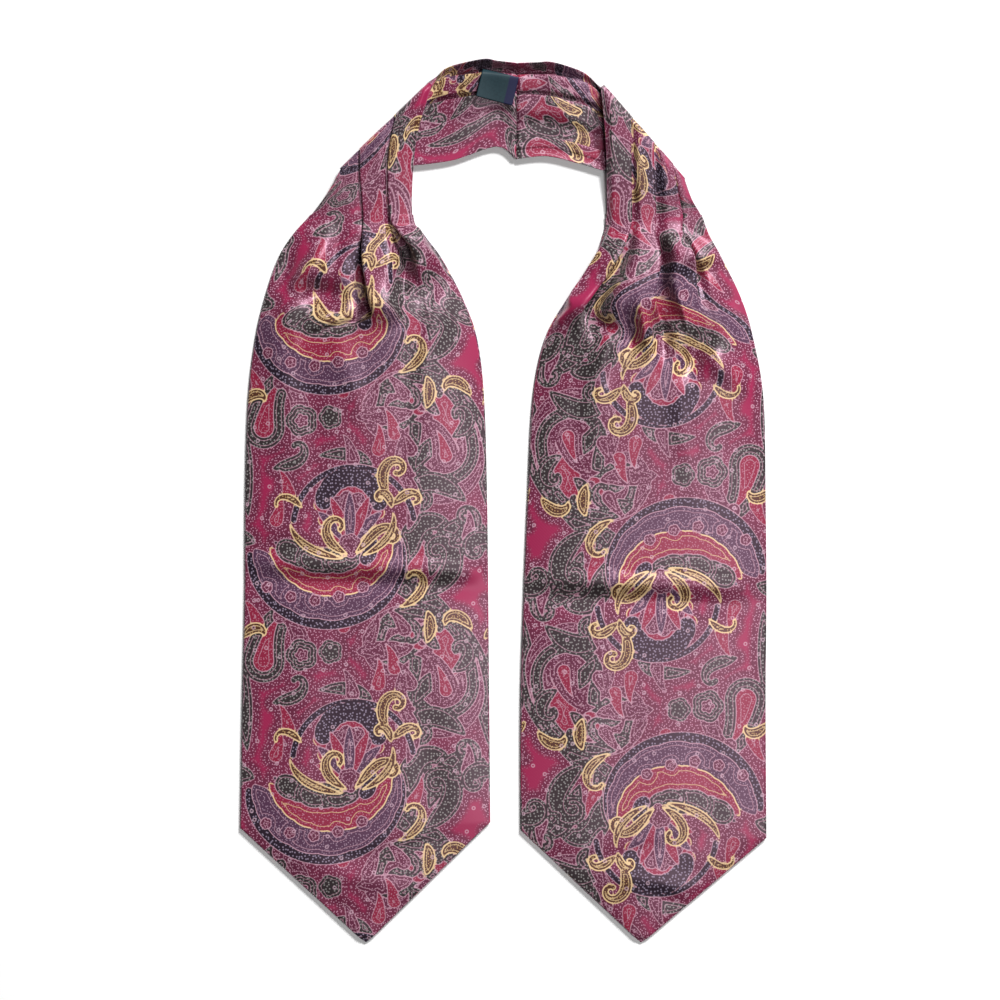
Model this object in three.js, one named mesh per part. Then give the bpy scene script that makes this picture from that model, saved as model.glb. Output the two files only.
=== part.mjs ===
// Silk day cravat, laid out flat on a table as an upturned U.
// Each half is a pointed blade, a front panel on a back panel, pleated into a narrow neckband.
// The band turns over on itself at each corner, and the halves meet in a seam behind the neck.
// Millimetres, +Z up, +Y towards the neck, origin on the table under the middle of the outline.
import * as THREE from "three";

// Driving sizes: the walls and the gaps between them
const SILK = 1.0;
const BACK_PANEL = 1.2;
const SEAM_GAP = 0.3;
const SEAM_PULL = 0.2;
const LAYER = 1.55;

// Heights of the cloth's middle where it lies: front panels on back panels, and the band on the table
const SETTLED = 0.3;
const FRONT_REST = BACK_PANEL + SEAM_GAP + SILK / 2;
const BAND_REST = 2 * LAYER + SILK / 2 - SETTLED;

// Band behind the neck: height of its raised upper rim, and how far its face sags between rim and table
const RIM = 11;
const SAG = -2;

// Blade: width of its blunt tip, how far the back panel is drawn in, and how flat its crown is
const TIP_WIDTH = 1.6;
const BACK_INSET = 0.5;
const CROWN_POWER = 3;
const EDGE_POWER = 6;

// Pleats: run of cloth that climbs to a fold, and clearances beside its hidden and its open edge
const RISE = 5;
const UNDER_CLEARANCE = 1.4;
const FOLD_CLEARANCE = 1.24;
const SPREAD_MARGIN = 2;

// Opening pleats: how much rounder their folds get, and how far open they are when they start to spread
const OPEN_ROUNDING = 2.5;
const SPREAD_FROM = 0.45;

// Outer strip beyond the last pleat: its lift, its columns, and its share of a flat width
const OUTER_STRIP = 1.6;
const OUTER_COLUMNS = 5;
const EDGE_SHARE = 0.1;

// Step for slopes, as a share of the width or of the way to the next station
const STEP = 0.02;

// One station across the cloth, from its inner edge to its outer edge.
// inner and outer are the edge's distance from the middle, its place along the part and its height.
// swell is how far the middle stands above the edges.
// slant is the sine of the angle between the station and the pleats that run through it.
// folds are the pleat edges as shares of the width, and open runs from 0, pressed, to 1, faded out.
function station(inner, outer, swell, slant, folds, open) {
  return { inner, outer, swell, slant, folds, open };
}

// Left half: two pleats
const LEFT = {
  side: -1,
  depths: [8.5, 9],
  tip: [86.2, -275.2],
  blade: [
    station([9.4, -200.3, FRONT_REST], [163.7, -204, FRONT_REST], 3, 1, [0.33, 0.66], [1, 1]),
    station([10, -124, FRONT_REST], [162.4, -124, FRONT_REST], 4, 1, [0.33, 0.66], [1, 1]),
    station([10.6, -62, FRONT_REST], [161, -62, FRONT_REST], 4.5, 1, [0.33, 0.66], [1, 1]),
    station([11.3, 1, FRONT_REST], [160.6, 1, FRONT_REST], 5.5, 1, [0.33, 0.62], [1, 1]),
    station([13.1, 63, FRONT_REST], [158.8, 63, FRONT_REST], 8, 1, [0.3, 0.54], [1, 1]),
    station([17.5, 101, FRONT_REST], [154.4, 101, FRONT_REST], 10, 0.95, [0.24, 0.45], [1, 0.97]),
    station([26.3, 126, FRONT_REST], [148.8, 126, FRONT_REST], 10, 0.95, [0.2, 0.47], [0.92, 0.35]),
    station([39.4, 151, FRONT_REST], [140.6, 151, FRONT_REST], 7, 0.9, [0.17, 0.48], [0.6, 0.08]),
    station([50.4, 166, FRONT_REST], [131.5, 166, FRONT_REST], 4, 0.9, [0.19, 0.46], [0.15, 0]),
    station([57.5, 179, FRONT_REST], [120, 179, FRONT_REST], 1.5, 0.95, [0.22, 0.48], [0, 0]),
  ],
  strip: [
    station([54.8, 223, 9], [109.7, 192.5, 5.5], 0, 0.85, [0.31, 0.63], [0, 0]),
  ],
  turn: {
    high: [43.8, 264.7],
    low: [101.5, 207],
    rest: [6, BAND_REST],
    radius: [4.5, 3],
    folds: [0.39, 0.78],
    open: [0, 0],
  },
  back: [
    station([29, 272.4, 8.5], [66, 209, BAND_REST], -1, 0.85, [0.43, 0.71], [0, 0]),
    station([14, 274, RIM], [33, 212.8, BAND_REST], SAG, 0.97, [0.45, 0.71], [0, 0]),
    station([4, 273, RIM], [4.7, 221.5, BAND_REST], SAG, 1, [0.52, 0.81], [0, 0]),
    station([-8.1, 271.6, RIM], [-7.5, 213.7, BAND_REST], SAG, 1, [0.46, 0.72], [0, 0]),
  ],
};

// Right half: three pleats, the two inner ones with long open mouths
const RIGHT = {
  side: 1,
  depths: [7.5, 6, 4],
  tip: [85.7, -275.2],
  blade: [
    station([11.3, -205.2, FRONT_REST], [163.1, -210, FRONT_REST], 3, 1, [0.25, 0.5, 0.75], [1, 1, 1]),
    station([11.3, -124, FRONT_REST], [162.6, -124, FRONT_REST], 4, 1, [0.25, 0.5, 0.75], [1, 1, 1]),
    station([13.1, -62, FRONT_REST], [163.1, -62, FRONT_REST], 4.5, 1, [0.25, 0.5, 0.75], [1, 1, 1]),
    station([15.6, 1, FRONT_REST], [162.6, 1, FRONT_REST], 5.5, 1, [0.22, 0.5, 0.73], [1, 1, 1]),
    station([18.8, 63, FRONT_REST], [161.3, 63, FRONT_REST], 8, 0.9, [0.17, 0.5, 0.7], [1, 1, 1]),
    station([26.3, 101, FRONT_REST], [155, 101, FRONT_REST], 10, 0.85, [0.13, 0.48, 0.66], [0.85, 0.8, 1]),
    station([40, 126, FRONT_REST], [147.6, 126, FRONT_REST], 10, 0.85, [0.15, 0.425, 0.66], [0.3, 0.35, 0.85]),
    station([56.9, 151, FRONT_REST], [135.6, 151, FRONT_REST], 7, 0.85, [0.19, 0.43, 0.68], [0.16, 0.12, 0.3]),
    station([62.6, 166, FRONT_REST], [127.6, 166, FRONT_REST], 4, 0.92, [0.23, 0.48, 0.74], [0.06, 0, 0]),
    station([64.4, 179, FRONT_REST], [122.5, 179, FRONT_REST], 1.5, 0.97, [0.26, 0.52, 0.8], [0, 0, 0]),
  ],
  strip: [
    station([63.5, 222, 9], [116.8, 188.5, 5.5], 0, 0.74, [0.29, 0.56, 0.83], [0, 0, 0]),
  ],
  turn: {
    high: [58.8, 263.4],
    low: [112.4, 200.6],
    rest: [6, BAND_REST],
    radius: [4.5, 3],
    folds: [0.35, 0.62, 0.85],
    open: [0, 0, 0],
  },
  back: [
    station([46, 271, 8.5], [70, 205, BAND_REST], -1, 0.85, [0.42, 0.66, 0.88], [0, 0, 0]),
    station([31, 272, RIM], [47, 211, BAND_REST], SAG, 0.95, [0.44, 0.67, 0.88], [0, 0, 0]),
    station([20, 272, RIM], [27, 215.5, BAND_REST], SAG, 0.98, [0.45, 0.68, 0.88], [0, 0, 0]),
    station([8.1, 271.6, RIM], [7.5, 213.7, BAND_REST], SAG, 1, [0.45, 0.67, 0.88], [0, 0, 0]),
  ],
};

// Soft hollows and ridges in the front panels: middle (across, along), half length, half width,
// direction of the length in degrees from across, and height
const LEFT_BILLOWS = [
  { across: 112, along: 124, long: 14, wide: 9, turn: 60, high: -4 },
  { across: 117, along: 153, long: 18, wide: 7, turn: -35, high: 3 },
  { across: 64, along: 132, long: 24, wide: 9, turn: 120, high: -3.5 },
  { across: 86, along: -36, long: 110, wide: 9, turn: 2, high: 2.5 },
  { across: 96, along: -233, long: 40, wide: 7, turn: 14, high: 1.5 },
];
const RIGHT_BILLOWS = [
  { across: 118, along: 112, long: 16, wide: 8, turn: 70, high: -3.5 },
  { across: 128, along: 152, long: 16, wide: 7, turn: 10, high: 3 },
  { across: 98, along: 92, long: 22, wide: 7, turn: 110, high: -4 },
  { across: 86, along: -46, long: 110, wide: 10, turn: -2, high: 2.5 },
  { across: 96, along: -238, long: 40, wide: 7, turn: -12, high: 1.5 },
];

// Label: folded satin ribbon
const LABEL = { wide: 23, tall: 15.5, thick: 1, middle: [-4.2, 258.6], turn: -15, lift: 2.2 };

// Stations round a turned corner: the band rolls over a round edge that narrows towards its low end
function turnStations(turn) {
  const along = new THREE.Vector2(turn.low[0] - turn.high[0], turn.low[1] - turn.high[1]).normalize();
  const outward = new THREE.Vector2(-along.y, along.x);
  return [0, 45, 90, 135, 180].map((degrees) => {
    const angle = THREE.MathUtils.degToRad(degrees);
    const ends = [turn.high, turn.low].map((end, i) => {
      const reach = turn.radius[i] * (Math.sin(angle) - 1);
      const height = turn.rest[i] + turn.radius[i] * (1 + Math.cos(angle));
      return [end[0] + outward.x * reach, end[1] + outward.y * reach, height];
    });
    return station(ends[0], ends[1], 0, Math.SQRT1_2, turn.folds, turn.open);
  });
}

// All stations of a half, from the blade's shoulder to the seam behind the neck
function allStations(half) {
  return [...half.blade, ...half.strip, ...turnStations(half.turn), ...half.back];
}

// Smooth value through four neighbouring values of a table column
function smooth(before, from, to, after, share) {
  const linear = to - before;
  const square = 2 * before - 5 * from + 4 * to - after;
  const cube = 3 * from - before - 3 * to + after;
  return from + 0.5 * share * (linear + share * (square + share * cube));
}

function smoothLists(rows, pick, share) {
  const lists = rows.map(pick);
  return lists[1].map((_, i) => smooth(lists[0][i], lists[1][i], lists[2][i], lists[3][i], share));
}

// Station at any place: whole numbers are the table's rows, and -1 is the blade's tip
function stationAt(half, rows, place) {
  if (place < 0) {
    const [across, along] = half.tip;
    const shoulder = rows[0];
    const share = -place;
    const tip = station(
      [across - TIP_WIDTH / 2, along, FRONT_REST],
      [across + TIP_WIDTH / 2, along, FRONT_REST],
      0, 1, shoulder.folds, shoulder.open,
    );
    const mix = (a, b) => a.map((value, i) => THREE.MathUtils.lerp(value, b[i], share));
    return station(
      mix(shoulder.inner, tip.inner),
      mix(shoulder.outer, tip.outer),
      shoulder.swell * (1 - share * share), 1, shoulder.folds, shoulder.open,
    );
  }
  const first = Math.min(Math.floor(place), rows.length - 2);
  const at = (i) => rows[THREE.MathUtils.clamp(i, 0, rows.length - 1)];
  const near = [at(first - 1), at(first), at(first + 1), at(first + 2)];
  const share = place - first;
  const clamped = (list) => list.map((value) => THREE.MathUtils.clamp(value, 0, 1));
  return station(
    smoothLists(near, (row) => row.inner, share),
    smoothLists(near, (row) => row.outer, share),
    smooth(...near.map((row) => row.swell), share),
    smooth(...near.map((row) => row.slant), share),
    clamped(smoothLists(near, (row) => row.folds, share)),
    clamped(smoothLists(near, (row) => row.open, share)),
  );
}

// Height that the soft hollows and ridges add at a point
function billow(list, across, along) {
  return list.reduce((sum, fold) => {
    const angle = THREE.MathUtils.degToRad(fold.turn);
    const dx = across - fold.across;
    const dy = along - fold.along;
    const a = (dx * Math.cos(angle) + dy * Math.sin(angle)) / fold.long;
    const b = (dy * Math.cos(angle) - dx * Math.sin(angle)) / fold.wide;
    return sum + fold.high * Math.exp(-a * a - b * b);
  }, 0);
}

// Unpleated cloth at a station, at a share of its width
function clothPoint(row, billows, share) {
  const point = new THREE.Vector3(...row.inner).lerp(new THREE.Vector3(...row.outer), share);
  const fromMiddle = Math.abs(2 * share - 1);
  const soft = billow(billows, point.x, point.y) * (1 - fromMiddle ** EDGE_POWER);
  point.z += row.swell * (1 - fromMiddle ** CROWN_POWER) + Math.min(1, row.swell) * soft;
  return point;
}

// Section across the pleats, as places across the cloth and heights above it.
// A pressed pleat is an S: over the top to its fold, back underneath, and out again below.
// An opening pleat turns through less and less of a half circle, until its cloth lies flat.
function pleatSection(width, folds, open, depths) {
  const edges = folds.map((share) => share * width);
  const starts = edges.map((edge, k) => {
    const kept = (depths[k] / 2 + SPREAD_MARGIN) * (1 - open[k]);
    return k === 0 ? 0 : (edges[k - 1] + edge) / 2 - kept;
  });
  starts.push(width * (1 - EDGE_SHARE));
  const section = [{ place: 0, height: 0 }];
  let from = 0;
  edges.forEach((edge, k) => {
    const turn = Math.PI * (1 - open[k]);
    const radius = (LAYER / 2) * (1 + OPEN_ROUNDING * open[k]);
    const tuck = depths[k] * (1 - open[k]) ** 2;
    const drop = 2 * radius * (1 - Math.cos(turn)) + tuck * Math.sin(turn);
    const top = edge - radius * Math.sin(Math.min(turn, Math.PI / 2));
    const back = top + radius * Math.sin(turn) + tuck * Math.cos(turn);
    const low = radius * (1 - Math.cos(turn));
    const underEdge = Math.min(top, back - radius * (turn > Math.PI / 2 ? 1 - Math.sin(turn) : 0));
    const rise = Math.min(from + Math.max(RISE, drop), underEdge - UNDER_CLEARANCE);
    const arc = [1 / 3, 2 / 3, 1].map((share) => share * turn);
    const beyond = Math.max(edge + FOLD_CLEARANCE, back + radius * Math.sin(turn) + 1);
    const points = [
      [(from + rise) / 2, drop / 2],
      ...[0, 1 / 3, 2 / 3, 1].map((share) => [THREE.MathUtils.lerp(rise, top, share), drop]),
      ...arc.map((angle) => [top + radius * Math.sin(angle), drop - radius * (1 - Math.cos(angle))]),
      [back, low],
      ...[2 / 3, 1 / 3, 0].map((share) => [
        back + radius * (Math.sin(turn) - Math.sin(share * turn)),
        low - radius * (Math.cos(share * turn) - Math.cos(turn)),
      ]),
      [beyond, 0],
    ];
    const flat = THREE.MathUtils.smoothstep(open[k], SPREAD_FROM, 1);
    points.forEach(([place, height], i) => {
      const spread = THREE.MathUtils.lerp(starts[k], starts[k + 1], (i + 1) / points.length);
      section.push({ place: THREE.MathUtils.lerp(place, spread, flat), height });
    });
    from = section[section.length - 1].place;
  });
  const outerStand = OUTER_STRIP * (1 - open[open.length - 1]);
  for (let i = 1; i <= OUTER_COLUMNS; i += 1) {
    const share = i / OUTER_COLUMNS;
    section.push({ place: THREE.MathUtils.lerp(from, width, share), height: outerStand * (1 - share) });
  }
  return section;
}

// Grid of points along a stretch of the pleated cloth, one row for each place.
// Pleats run along the cloth, so a slanted station sees them wider than they are.
function clothGrid(half, billows, places) {
  const rows = allStations(half);
  return places.map((place) => {
    const row = stationAt(half, rows, place);
    const ahead = stationAt(half, rows, Math.min(place + STEP, rows.length - 1));
    const behind = stationAt(half, rows, Math.max(place - STEP, -1));
    const at = (station, share) => clothPoint(station, billows, share);
    const acrossAt = (share) => at(row, share + STEP).sub(at(row, share - STEP));
    const alongAt = (share) => at(ahead, share).sub(at(behind, share));
    const width = row.slant * Math.hypot(...row.outer.map((value, i) => value - row.inner[i]));
    return pleatSection(width, row.folds, row.open, half.depths).map((spot) => {
      const share = spot.place / width;
      const normal = acrossAt(share).cross(alongAt(share)).normalize();
      return at(row, share).addScaledVector(normal, spot.height);
    });
  });
}

// Moves the end rows of a grid inwards, so that the next piece starts a seam's gap away
function trimmed(grid, atStart, atEnd) {
  const pull = (row, towards) => row.map((point, j) => {
    const step = towards[j].clone().sub(point).setLength(SEAM_PULL);
    return point.clone().add(step);
  });
  const last = grid.length - 1;
  return grid.map((row, i) => {
    if (atStart && i === 0) return pull(row, grid[1]);
    if (atEnd && i === last) return pull(row, grid[last - 1]);
    return row;
  });
}

// Closed wall of even thickness about a grid, never lower than the surface that it rests on
function wallGeometry(grid, thickness, lowest, side) {
  const rows = grid.length;
  const columns = grid[0].length;
  const inside = (value, count) => THREE.MathUtils.clamp(value, 0, count - 1);
  const pick = (i, j) => grid[inside(i, rows)][inside(j, columns)];
  const positions = [];
  [1, -1].forEach((face) => {
    grid.forEach((row, i) => row.forEach((point, j) => {
      const across = pick(i, j + 1).clone().sub(pick(i, j - 1));
      const along = pick(i + 1, j).clone().sub(pick(i - 1, j));
      const normal = across.cross(along).normalize();
      const moved = point.clone().addScaledVector(normal, (face * thickness) / 2);
      positions.push(moved.x * side, moved.y, Math.max(moved.z, lowest));
    }));
  });
  const front = (i, j) => i * columns + j;
  const back = (i, j) => rows * columns + front(i, j);
  const quads = [];
  for (let i = 0; i < rows - 1; i += 1) {
    for (let j = 0; j < columns - 1; j += 1) {
      quads.push([front(i, j), front(i, j + 1), front(i + 1, j + 1), front(i + 1, j)]);
      quads.push([back(i, j), back(i + 1, j), back(i + 1, j + 1), back(i, j + 1)]);
    }
    quads.push([front(i, 0), front(i + 1, 0), back(i + 1, 0), back(i, 0)]);
    const end = columns - 1;
    quads.push([front(i, end), back(i, end), back(i + 1, end), front(i + 1, end)]);
  }
  for (let j = 0; j < columns - 1; j += 1) {
    const end = rows - 1;
    quads.push([front(0, j), back(0, j), back(0, j + 1), front(0, j + 1)]);
    quads.push([front(end, j), front(end, j + 1), back(end, j + 1), back(end, j)]);
  }
  const index = quads.flatMap(([a, b, c, d]) => (side > 0 ? [a, b, c, a, c, d] : [a, c, b, a, d, c]));
  const geometry = new THREE.BufferGeometry();
  geometry.setAttribute("position", new THREE.Float32BufferAttribute(positions, 3));
  geometry.setIndex(index);
  return geometry;
}

// Evenly spaced places from one station to another
function places(from, to, steps) {
  return Array.from({ length: steps + 1 }, (_, i) => from + ((to - from) * i) / steps);
}

const SHOULDER = 0;
const NECK_LINE = LEFT.blade.length - 1;
const TURN_START = NECK_LINE + LEFT.strip.length + 1;
const TURN_END = TURN_START + 4;
const BAND_JOIN = TURN_END + 1;
const CENTRE_BACK = TURN_END + LEFT.back.length;
const BLADE_PLACES = [
  ...places(-1, SHOULDER, 2),
  ...places(SHOULDER, 4, 5).slice(1),
  ...places(4, NECK_LINE, 14).slice(1),
];
const STRIP_PLACES = [
  ...places(NECK_LINE, TURN_START, 4),
  ...places(TURN_START, TURN_END, 4).slice(1),
  ...places(TURN_END, BAND_JOIN, 2).slice(1),
];
const BACK_PLACES = places(BAND_JOIN, CENTRE_BACK, 6);

// Flat back panel with the blade's outline, drawn in a little from the front panel's edge
function backPanelGrid(half) {
  const rows = allStations(half);
  return BLADE_PLACES.map((place) => {
    const row = stationAt(half, rows, place);
    const inner = new THREE.Vector3(row.inner[0], row.inner[1], BACK_PANEL / 2);
    const outer = new THREE.Vector3(row.outer[0], row.outer[1], BACK_PANEL / 2);
    const inset = Math.min(BACK_INSET, TIP_WIDTH / 5) / inner.distanceTo(outer);
    return places(inset, 1 - inset, 3).map((share) => inner.clone().lerp(outer, share));
  });
}

// Label lying on the inside of the band: its own outline, over the slope from the rim to the lower edge
function labelGrid() {
  const end = LEFT.back[LEFT.back.length - 1];
  const turn = THREE.MathUtils.degToRad(LABEL.turn);
  const clear = SILK / 2 + SEAM_GAP + LABEL.thick / 2;
  return places(-0.5, 0.5, 5).map((up) => places(-0.5, 0.5, 6).map((across) => {
    const x = across * LABEL.wide;
    const y = up * LABEL.tall;
    const side = LABEL.middle[0] + x * Math.cos(turn) - y * Math.sin(turn);
    const along = LABEL.middle[1] + x * Math.sin(turn) + y * Math.cos(turn);
    const share = (end.inner[1] - along) / (end.inner[1] - end.outer[1]);
    const below = clothPoint(end, [], share);
    const free = (0.5 - across) * (0.5 - up);
    return new THREE.Vector3(side, along, below.z + clear + LABEL.lift * free);
  }));
}

// Adds a named wall with a cloth material of its own
function addCloth(group, name, geometry, colour) {
  const material = new THREE.MeshStandardMaterial({ color: colour, roughness: 0.45, metalness: 0 });
  const mesh = new THREE.Mesh(geometry, material);
  mesh.name = name;
  group.add(mesh);
}

const FRONT_COLOUR = 0x8c5a68;
const BACK_COLOUR = 0x7c4a58;
const INSIDE_COLOUR = 0x9a6a70;
const LABEL_COLOUR = 0x2c4450;

const cravat = new THREE.Group();
cravat.name = "silk_cravat";
[["left", LEFT, LEFT_BILLOWS], ["right", RIGHT, RIGHT_BILLOWS]].forEach(([name, half, billows]) => {
  const front = trimmed(clothGrid(half, billows, BLADE_PLACES), false, true);
  const strip = trimmed(clothGrid(half, [], STRIP_PLACES), true, true);
  const inside = trimmed(clothGrid(half, [], BACK_PLACES), true, true);
  const frontWall = wallGeometry(front, SILK, BACK_PANEL + SEAM_GAP, half.side);
  const backWall = wallGeometry(backPanelGrid(half), BACK_PANEL, 0, half.side);
  const stripWall = wallGeometry(strip, SILK, 0, half.side);
  const insideWall = wallGeometry(inside, SILK, 0, half.side);
  addCloth(cravat, `blade_front_${name}`, frontWall, FRONT_COLOUR);
  addCloth(cravat, `blade_back_${name}`, backWall, BACK_COLOUR);
  addCloth(cravat, `neckband_${name}`, stripWall, FRONT_COLOUR);
  addCloth(cravat, `neckband_back_${name}`, insideWall, INSIDE_COLOUR);
});
addCloth(cravat, "label", wallGeometry(labelGrid(), LABEL.thick, 0, 1), LABEL_COLOUR);

export default cravat;
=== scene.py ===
import bpy
import numpy as np
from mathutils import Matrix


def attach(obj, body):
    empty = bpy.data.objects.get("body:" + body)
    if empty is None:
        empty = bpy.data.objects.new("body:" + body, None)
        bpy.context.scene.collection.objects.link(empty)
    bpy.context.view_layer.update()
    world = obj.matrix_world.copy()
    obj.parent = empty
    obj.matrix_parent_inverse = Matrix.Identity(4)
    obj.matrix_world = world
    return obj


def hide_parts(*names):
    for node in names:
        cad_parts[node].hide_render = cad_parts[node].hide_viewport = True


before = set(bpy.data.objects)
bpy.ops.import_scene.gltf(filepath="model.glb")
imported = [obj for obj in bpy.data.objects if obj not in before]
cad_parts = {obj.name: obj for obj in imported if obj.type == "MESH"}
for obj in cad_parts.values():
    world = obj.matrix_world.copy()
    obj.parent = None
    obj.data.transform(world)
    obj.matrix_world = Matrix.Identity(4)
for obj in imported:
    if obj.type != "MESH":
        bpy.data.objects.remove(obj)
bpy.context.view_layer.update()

# Blades: printed silk twill, cut with a pointed end and sewn up as a flat tube.
# Each is pleated by hand at its upper end, where the pleats are stitched down into the neckband.
# The tables hold the whole length of each half, because band and blade are one run of silk.
MM = 0.001

# In mm: the wall of a blade's front, the step between two layers of a pleat, the heights at which front,
# back and band rest, the height and the sag of the band's standing edge, and the width of the blunt tip
SILK, LAYER = 1.0, 1.3
FRONT_REST, BACK_REST, BAND_REST = 2.0, 0.2, 3.3
RIM, SAG = 15.0, -3.0
TIP_WIDTH = 0.4

# Places along the silk, counted in rows of the tables from the blade's shoulder
NECK_LINE, TURN_START, TURN_END, BAND_JOIN, CENTRE_BACK = 9, 11, 15, 16, 19

# Columns of a row: inner edge across, along and height; outer edge likewise; crown; slant;
# the pleat edges as shares of the width; how open each pleat is
LEFT = {
    "side": -1,
    "depths": (8.5, 9),
    "tip": (86.2, -275.2),
    "flat": [
        (9.4, -200.3, FRONT_REST, 163.7, -204, FRONT_REST, 3, 1, 0.33, 0.66, 1, 1),
        (10, -124, FRONT_REST, 162.4, -124, FRONT_REST, 4, 1, 0.33, 0.66, 1, 1),
        (10.6, -62, FRONT_REST, 161, -62, FRONT_REST, 4.5, 1, 0.33, 0.66, 1, 1),
        (11.3, 1, FRONT_REST, 160.6, 1, FRONT_REST, 5.5, 1, 0.33, 0.62, 1, 1),
        (13.1, 63, FRONT_REST, 158.8, 63, FRONT_REST, 8, 1, 0.3, 0.54, 1, 1),
        (17.5, 101, FRONT_REST, 154.4, 101, FRONT_REST, 10, 0.95, 0.24, 0.45, 1, 0.9),
        (26.3, 126, FRONT_REST, 148.8, 126, FRONT_REST, 10, 0.95, 0.2, 0.47, 0.92, 0.16),
        (39.4, 151, FRONT_REST, 140.6, 151, FRONT_REST, 7, 0.9, 0.17, 0.48, 0.5, 0.04),
        (50.4, 166, FRONT_REST, 131.5, 166, FRONT_REST, 4, 0.9, 0.19, 0.46, 0.06, 0),
        (57.5, 179, FRONT_REST, 120, 179, FRONT_REST, 1.5, 0.95, 0.22, 0.48, 0, 0),
        (54.8, 223, 9, 109.7, 192.5, 5.5, 0, 0.85, 0.31, 0.63, 0, 0),
    ],
    "turn": {"high": (46.8, 260.6), "low": (102.2, 207.8), "folds": (0.39, 0.78)},
    "inside": [
        (36.5, 269.6, 5, 66, 209, BAND_REST, -1, 0.85, 0.28, 0.56, 0, 0),
        (14, 274, RIM, 33, 212.8, BAND_REST, SAG, 0.97, 0.29, 0.52, 0, 0),
        (4, 273, RIM, 4.7, 221.5, BAND_REST, SAG, 1, 0.3, 0.53, 0, 0),
        (-8.1, 271.6, RIM, -7.5, 213.7, BAND_REST, SAG, 1, 0.26, 0.46, 0, 0),
    ],
    # Soft creases: middle across and along, half length, half width, direction in degrees, height
    "creases": [
        (114, 129, 17, 9, 5, -9),
        (121, 141, 19, 6, 119, 5),
        (137, 143, 18, 6, 108, -5),
        (104, 158, 15, 6, 100, -3),
        (64, 137, 14, 6, 110, -5.5),
        (53, 146, 14, 5, 118, 3),
        (44, 134, 14, 7, 125, -4),
        (134, 112, 16, 5, 75, 1.6),
        (140, 86, 26, 7, 80, 1.4),
        (46, 96, 34, 7, 105, 1.5),
        (58, 60, 40, 9, 98, -1.2),
        (120, 60, 46, 10, 84, -1.4),
        (98, 82, 30, 7, 72, 1.5),
        (86, -40, 110, 6, 2, 3),
        (86, -52, 110, 6, 2, -2),
        (130, -20, 34, 7, 8, 1.0),
        (126, -150, 50, 12, 96, 1.0),
        (46, -170, 46, 12, 84, -1.0),
        (96, -233, 40, 7, 14, 1.5),
        (70, -218, 44, 6, -12, -1.1),
        (112, -248, 26, 5, 24, -1.0),
    ],
}
RIGHT = {
    "side": 1,
    "depths": (7.5, 6, 4),
    "tip": (85.7, -275.2),
    "flat": [
        (11.3, -205.2, FRONT_REST, 163.1, -210, FRONT_REST, 3, 1, 0.25, 0.5, 0.75, 1, 1, 1),
        (11.3, -124, FRONT_REST, 162.6, -124, FRONT_REST, 4, 1, 0.25, 0.5, 0.75, 1, 1, 1),
        (13.1, -62, FRONT_REST, 163.1, -62, FRONT_REST, 4.5, 1, 0.25, 0.5, 0.75, 1, 1, 1),
        (15.6, 1, FRONT_REST, 162.6, 1, FRONT_REST, 5.5, 1, 0.22, 0.5, 0.73, 1, 1, 1),
        (18.8, 63, FRONT_REST, 161.3, 63, FRONT_REST, 8, 0.9, 0.17, 0.5, 0.7, 1, 1, 1),
        (26.3, 101, FRONT_REST, 155, 101, FRONT_REST, 10, 0.85, 0.13, 0.56, 0.76, 0.82, 0.85, 1),
        (40, 126, FRONT_REST, 147.6, 126, FRONT_REST, 10, 0.85, 0.15, 0.5, 0.75, 0.1, 0.25, 0.8),
        (56.9, 151, FRONT_REST, 135.6, 151, FRONT_REST, 7, 0.85, 0.19, 0.51, 0.76, 0.04, 0.05, 0.2),
        (62.6, 166, FRONT_REST, 127.6, 166, FRONT_REST, 4, 0.92, 0.23, 0.48, 0.74, 0, 0, 0),
        (64.4, 179, FRONT_REST, 122.5, 179, FRONT_REST, 1.5, 0.97, 0.26, 0.52, 0.8, 0, 0, 0),
        (63.5, 222, 9, 116.8, 188.5, 5.5, 0, 0.74, 0.29, 0.56, 0.83, 0, 0, 0),
    ],
    "turn": {"high": (62.4, 258.8), "low": (113, 201.4), "folds": (0.35, 0.62, 0.85)},
    "inside": [
        (50, 267, 5, 70, 205, BAND_REST, -1, 0.85, 0.26, 0.5, 0.88, 0, 0, 0),
        (31, 272, RIM, 47, 211, BAND_REST, SAG, 0.95, 0.27, 0.48, 0.88, 0, 0, 0),
        (20, 272, RIM, 27, 215.5, BAND_REST, SAG, 0.98, 0.27, 0.47, 0.88, 0, 0, 0),
        (8.1, 271.6, RIM, 7.5, 213.7, BAND_REST, SAG, 1, 0.26, 0.45, 0.88, 0, 0, 0),
    ],
    "creases": [
        (87.3, 107, 12, 3.4, 100, 6),
        (98, 104, 15, 6, 100, -8),
        (78.5, 106, 11, 4.5, 95, -4.5),
        (119, 92, 17, 8, 63, -8.5),
        (136, 83, 19, 7, -42, 4),
        (108, 118, 18, 6, 95, 3),
        (64, 96, 16, 7, 60, 3),
        (144, 124, 20, 6.5, -57, -4),
        (120, 143, 11, 6, 20, -3.5),
        (122, 167, 11, 5.5, -30, -3),
        (128, 152, 16, 6, 10, 3),
        (60, 84, 34, 8, 75, 1.4),
        (46, 50, 40, 9, 82, -1.2),
        (112, 54, 40, 8, 98, 1.3),
        (72, -50, 90, 6, -2, 3),
        (64, -62, 70, 6, -2, -2),
        (132, -66, 34, 7, -8, -1.0),
        (52, -150, 52, 12, 84, 1.0),
        (128, -176, 46, 12, 96, -1.0),
        (96, -238, 40, 7, -12, 1.5),
        (66, -222, 44, 6, 12, -1.1),
        (112, -252, 24, 5, -26, -1.0),
    ],
}


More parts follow.
